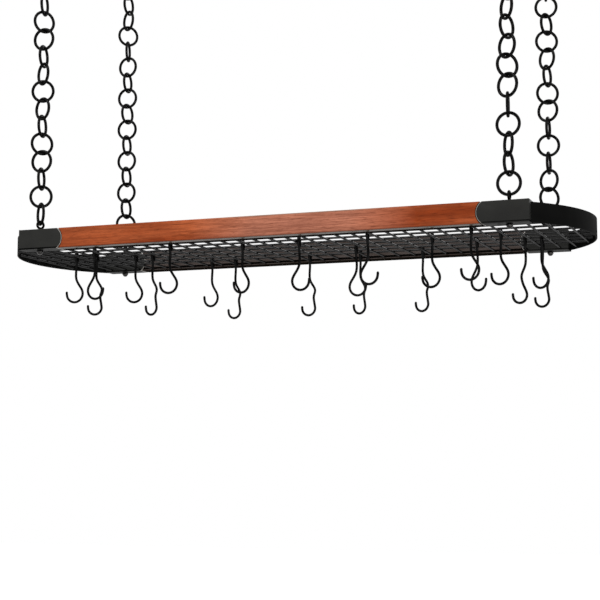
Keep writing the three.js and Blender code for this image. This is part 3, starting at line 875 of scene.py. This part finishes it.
# %% Eye bolts
EYE_WIRE = 4.6 * MM
EYE_OUTSIDE = 18 * MM
EYE_TURNS = {"front_left": 60}
BOLT_DIAMETER = 6 * MM
BOLT_EDGE = 0.6 * MM
WELD_THROAT = 0.4 * MM
COLLAR_DIAMETER = 12 * MM
COLLAR_HEIGHT = 2 * MM
COLLAR_EDGE = 0.6 * MM

for corner in CORNERS:
    low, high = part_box("eye_bolt_" + corner)
    axis = middle("eye_bolt_" + corner)
    cap_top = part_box("cap_" + corner)[1].z
    bolt = bmesh.new()
    eye_turn = math.radians(EYE_TURNS.get(corner, 90))
    eye_centre = (axis.x, axis.y, high.z - EYE_OUTSIDE / 2)
    add_ring(bolt, eye_centre, (EYE_OUTSIDE - EYE_WIRE) / 2, EYE_WIRE, eye_turn)
    shank = BOLT_DIAMETER / 2
    collar = COLLAR_DIAMETER / 2
    foot = cap_top + CLEARANCE
    collar_top = cap_top + COLLAR_HEIGHT
    eye_foot = high.z - EYE_OUTSIDE
    add_turned(bolt, [
        (0, low.z), (shank - BOLT_EDGE, low.z), (shank, low.z + BOLT_EDGE), (shank, foot),
        (collar - COLLAR_EDGE, foot), (collar, foot + COLLAR_EDGE), (collar, collar_top - COLLAR_EDGE),
        (collar - COLLAR_EDGE, collar_top), (shank, collar_top + WELD_THROAT),
        (shank * 0.8, eye_foot + EYE_WIRE * 0.6), (0, eye_foot + EYE_WIRE * 0.8),
    ], (axis.x, axis.y, 0))
    show(f"eye_bolt_{corner}_round", bolt, strap_paint, "eye_bolt_" + corner, "rack")

# %% Domed nuts
NUT_WIDTH = 11 * MM
NUT_BODY = 4.5 * MM
NUT_DOME = 4 * MM
NUT_EDGE = 0.5 * MM
DOME_SINK = 0.8 * MM
NUT_CORNER_ANGLE = 0.3

for corner in CORNERS:
    low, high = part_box("cap_nut_" + corner)
    axis = middle("cap_nut_" + corner)
    nut = bmesh.new()
    corner_radius = NUT_WIDTH / math.sqrt(3)
    bmesh.ops.create_cone(
        nut, cap_ends=True, segments=6, radius1=corner_radius, radius2=corner_radius, depth=NUT_BODY,
        matrix=Matrix.Translation((axis.x, axis.y, high.z - NUT_BODY / 2)),
    )
    roll_edges(nut, lambda edge: edge.calc_face_angle() > NUT_CORNER_ANGLE, NUT_EDGE, 2)
    rim = NUT_WIDTH / 2 - NUT_EDGE
    body_foot = high.z - NUT_BODY
    sunk = body_foot + DOME_SINK
    add_turned(nut, [*dome(rim, body_foot, NUT_DOME), (rim, sunk), (0, sunk)], (axis.x, axis.y, 0))
    show(f"cap_nut_{corner}_domed", nut, nut_plating, "cap_nut_" + corner, "rack")

# %% [markdown]
# ## Bent wire
# A hook is one length of wire, bent through a few points. The centripetal curve through them is the
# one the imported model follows, so the fine wire lies inside the coarse one. A Blender curve with a
# round bevel gives it its thickness, and a radius that shrinks at the last points rounds its ends.

# %% Bent wire helper
WIRE_END_STEPS = 4
WIRE_END_SHARE = 0.02
END_ROOM = 1.1
WIRE_SEAM = 0.002 * MM


def spline_point(before, start, end, after, share):
    """A point on the centripetal curve between start and end."""
    gaps = [max((b - a).length ** 0.5, 1e-9) for a, b in ((before, start), (start, end), (end, after))]
    first, middle_gap, last = gaps
    leave = (start - before) / first - (end - before) / (first + middle_gap) + (end - start) / middle_gap
    arrive = (end - start) / middle_gap - (after - start) / (middle_gap + last) + (after - end) / last
    leave *= middle_gap
    arrive *= middle_gap
    return (
        start
        + leave * share
        + (3 * (end - start) - 2 * leave - arrive) * share**2
        + (2 * (start - end) + leave + arrive) * share**3
    )


def smooth_path(points, per_span=5):
    """The points, with per_span steps of the curve between each two."""
    padded = [points[0] * 2 - points[1], *points, points[-1] * 2 - points[-2]]
    path = []
    for place in range(len(points) - 1):
        for step in range(per_span):
            path.append(spline_point(*padded[place : place + 4], step / per_span))
    path.append(points[-1])
    return path


def rounded_ends(path, radius):
    """The path with its two ends drawn out into domes, as (point, share of the radius)."""
    def end_points(tip, inward):
        out = []
        for step in range(WIRE_END_STEPS + 1):
            angle = math.pi / 2 * step / WIRE_END_STEPS
            share = max(math.sin(angle), WIRE_END_SHARE)
            out.append((tip + inward * radius * (1 - math.cos(angle)), share))
        return out

    head = end_points(path[0], (path[1] - path[0]).normalized())
    tail = end_points(path[-1], (path[-2] - path[-1]).normalized())
    room = END_ROOM * radius
    between = [
        (point, 1.0)
        for point in path
        if (point - path[0]).length > room and (point - path[-1]).length > room
    ]
    return head + between + tail[::-1]


def add_wire(shape, points, diameter):
    """A round wire bent through points, with domed ends."""
    stations = rounded_ends(smooth_path(points), diameter / 2)
    curve = bpy.data.curves.new("bent wire", "CURVE")
    curve.dimensions = "3D"
    curve.bevel_depth = diameter / 2
    curve.bevel_resolution = 4
    curve.use_fill_caps = True
    spline = curve.splines.new("POLY")
    spline.points.add(len(stations) - 1)
    for knot, (point, share) in zip(spline.points, stations):
        knot.co = (*point, 1)
        knot.radius = share
    holder = bpy.data.objects.new("bent wire", curve)
    bpy.context.scene.collection.objects.link(holder)
    bpy.context.view_layer.update()
    depsgraph = bpy.context.evaluated_depsgraph_get()
    mesh = bpy.data.meshes.new_from_object(holder.evaluated_get(depsgraph))
    bent = bmesh.new()
    bent.from_mesh(mesh)
    bmesh.ops.remove_doubles(bent, verts=bent.verts, dist=WIRE_SEAM)
    bmesh.ops.recalc_face_normals(bent, faces=bent.faces)
    bent.to_mesh(mesh)
    bent.free()
    shape.from_mesh(mesh)
    bpy.data.meshes.remove(mesh)
    bpy.data.objects.remove(holder)
    bpy.data.curves.remove(curve)


# %% [markdown]
# ## Pot hooks
# Each hook hangs over a long wire of the grid and swings on it, so its joint gives the place of that
# wire. Every hook is turned its own way, as loose hooks are. The short ones have one bowl. The long
# ones have a second bend and a waist above it.

# %% Pot hook shapes
POT_WIRE = 4.8 * MM
SEAT_PLAY = 0.4 * MM
SEAT_TAIL = 14 * MM
SEAT_NECK = 17 * MM
SHORT_DROP = 98 * MM
SHORT_BOWL = 17 * MM
SHORT_NECK_RISE = 46 * MM
LONG_DROP = 124 * MM
LONG_BOWL = 14.2 * MM
LONG_NECK_RISE = 71 * MM
UPPER_BEND = 11 * MM
UPPER_BEND_RISE = 50 * MM
WAIST = 8 * MM
WAIST_RISE = 36 * MM
BOWL_SHIFT = 3 * MM
TIP_RISE = 5 * MM
ODD_HOOK = 7
ODD_SIDE = -0.75
ODD_SHIFT = 12 * MM
SHORT_TURNS = (5, 177, 3, 3, -14, -12, 177, 174, 172, -7, -11, 155, -15, -26)
LONG_TURNS = (8, -16, -11, -5, -20, -17, -14, -14)


def seat_points():
    """Over the long wire, from the tail behind it to the neck under it."""
    radius = wire_radius + SEAT_PLAY + POT_WIRE / 2
    points = [Vector((0, radius, -SEAT_TAIL))]
    for step in range(5):
        angle = math.pi * step / 4
        points.append(Vector((0, radius * math.cos(angle), radius * math.sin(angle))))
    points.append(Vector((0, -radius, -SEAT_NECK / 3)))
    points.append(Vector((0, 0, -SEAT_NECK)))
    return points


def bowl_points(bowl, bottom, shift=BOWL_SHIFT):
    """From the bulge beside the shank, round the bottom and up to the open tip."""
    points = []
    for step in range(8):
        angle = math.radians(20 - 200 * step / 7)
        points.append((bowl * math.cos(angle) - shift, 0, bottom + bowl + bowl * math.sin(angle)))
    points.append((-bowl - shift, 0, bottom + bowl + TIP_RISE))
    return points


def hook_points(points, turn):
    """The whole hook: what hangs under the seat lies in one upright plane, turned about z."""
    turning = Matrix.Rotation(math.radians(turn), 3, "Z")
    return [*seat_points(), *(turning @ Vector(point) for point in points)]


def short_hook_points(turn):
    """The centre line of a short hook."""
    bottom = wire_radius - SHORT_DROP + POT_WIRE / 2
    return hook_points([(0, 0, bottom + SHORT_NECK_RISE), *bowl_points(SHORT_BOWL, bottom)], turn)


def long_hook_points(turn, side=1, shift=BOWL_SHIFT):
    """The centre line of a long hook, with its upper bend and waist to one side or the other."""
    bottom = wire_radius - LONG_DROP + POT_WIRE / 2
    return hook_points([
        (0, 0, bottom + LONG_NECK_RISE),
        (side * UPPER_BEND, 0, bottom + UPPER_BEND_RISE),
        (side * WAIST, 0, bottom + WAIST_RISE),
        *bowl_points(LONG_BOWL, bottom, shift),
    ], turn)


# %% Pot hooks
hinge_of = {joint["child"]: Vector(joint["pos_m"]) for joint in frame["joints"]}


def show_hook(node, points):
    """One pot hook, hung at its hinge."""
    hook = bmesh.new()
    add_wire(hook, [point + hinge_of[node] for point in points], POT_WIRE)
    show(node + "_wire", hook, wire_paint, node, node)


for place, turn in enumerate(SHORT_TURNS, start=1):
    show_hook(f"short_hook_{place:02d}", short_hook_points(turn))
for place, turn in enumerate(LONG_TURNS, start=1):
    bend = (ODD_SIDE, ODD_SHIFT) if place == ODD_HOOK else ()
    show_hook(f"long_hook_{place:02d}", long_hook_points(turn, *bend))

# %% [markdown]
# ## Ceiling hooks
# A screw hook for a joist: a threaded screw, a collar that stops it at the ceiling, and a round bend
# with a small way in. The thread is a triangle of wire spun up the shank with a rise for each turn.

# %% Ceiling hooks
HOOK_WIRE = 5 * MM
HOOK_RADIUS = 9.5 * MM
HOOK_STEM = 14 * MM
HOOK_OPEN_ANGLE = 85
CEILING_COLLAR = 22 * MM
CEILING_COLLAR_HEIGHT = 2.5 * MM
SCREW_DIAMETER = 6 * MM
SCREW_LENGTH = 40 * MM
SCREW_TIP = 8 * MM
THREAD_PITCH = 2.4 * MM
THREAD_DEPTH = 0.8 * MM
THREAD_SINK = 0.05 * MM
THREAD_START = 2 * MM
THREAD_STEPS = 20
STEM_SINK = 1 * MM


def ceiling_hook_points():
    """From the collar down the stem and round the bend."""
    centre = -(CEILING_COLLAR_HEIGHT + HOOK_STEM + HOOK_RADIUS)
    points = [Vector((0, 0, -CEILING_COLLAR_HEIGHT + STEM_SINK))]
    end = -180 - (90 - HOOK_OPEN_ANGLE)
    for step in range(13):
        angle = math.radians(90 + (end - 90) * step / 12)
        points.append(Vector((0, HOOK_RADIUS * math.cos(angle), centre + HOOK_RADIUS * math.sin(angle))))
    return points


def add_thread(shape, centre):
    """A sharp ridge that climbs the shank, its root sunk into it."""
    root = SCREW_DIAMETER / 2 - THREAD_DEPTH
    turns = int((SCREW_LENGTH - SCREW_TIP) / THREAD_PITCH) - 1
    part = bmesh.new()
    bmesh.ops.create_circle(part, segments=3, radius=THREAD_DEPTH * 1.15)
    bmesh.ops.rotate(part, verts=part.verts, matrix=Matrix.Rotation(math.pi / 2, 3, "X"))
    bmesh.ops.rotate(part, verts=part.verts, matrix=Matrix.Rotation(math.pi / 2, 3, "Y"))
    bmesh.ops.translate(part, verts=part.verts, vec=(root - THREAD_SINK, 0, THREAD_START))
    steps = turns * THREAD_STEPS
    bmesh.ops.spin(
        part, geom=part.verts[:] + part.edges[:], cent=(0, 0, 0), axis=(0, 0, 1),
        dvec=(0, 0, turns * THREAD_PITCH / steps), steps=steps, angle=turns * 2 * math.pi,
    )
    bmesh.ops.holes_fill(part, edges=[edge for edge in part.edges if edge.is_boundary])
    bmesh.ops.recalc_face_normals(part, faces=part.faces)
    bmesh.ops.translate(part, verts=part.verts, vec=centre)
    mesh = bpy.data.meshes.new("thread")
    part.to_mesh(mesh)
    part.free()
    shape.from_mesh(mesh)
    bpy.data.meshes.remove(mesh)


for corner in CORNERS:
    node = "ceiling_hook_" + corner
    seat = middle("top_ring_" + corner)
    place = Vector((seat.x, seat.y, 0))
    hook = bmesh.new()
    core = SCREW_DIAMETER / 2 - THREAD_DEPTH
    collar = CEILING_COLLAR / 2
    add_turned(hook, [
        (0, -CEILING_COLLAR_HEIGHT), (HOOK_WIRE / 2 + 1.5 * MM, -CEILING_COLLAR_HEIGHT),
        (collar - 1.2 * MM, -CEILING_COLLAR_HEIGHT * 0.7), (collar, -CEILING_COLLAR_HEIGHT * 0.35),
        (collar, 0), (core, 0), (core, SCREW_LENGTH - SCREW_TIP), (0, SCREW_LENGTH),
    ], place)
    add_thread(hook, place)
    add_wire(hook, [point + place for point in ceiling_hook_points()], HOOK_WIRE)
    show(node + "_round", hook, strap_paint, node, "ceiling_hooks")
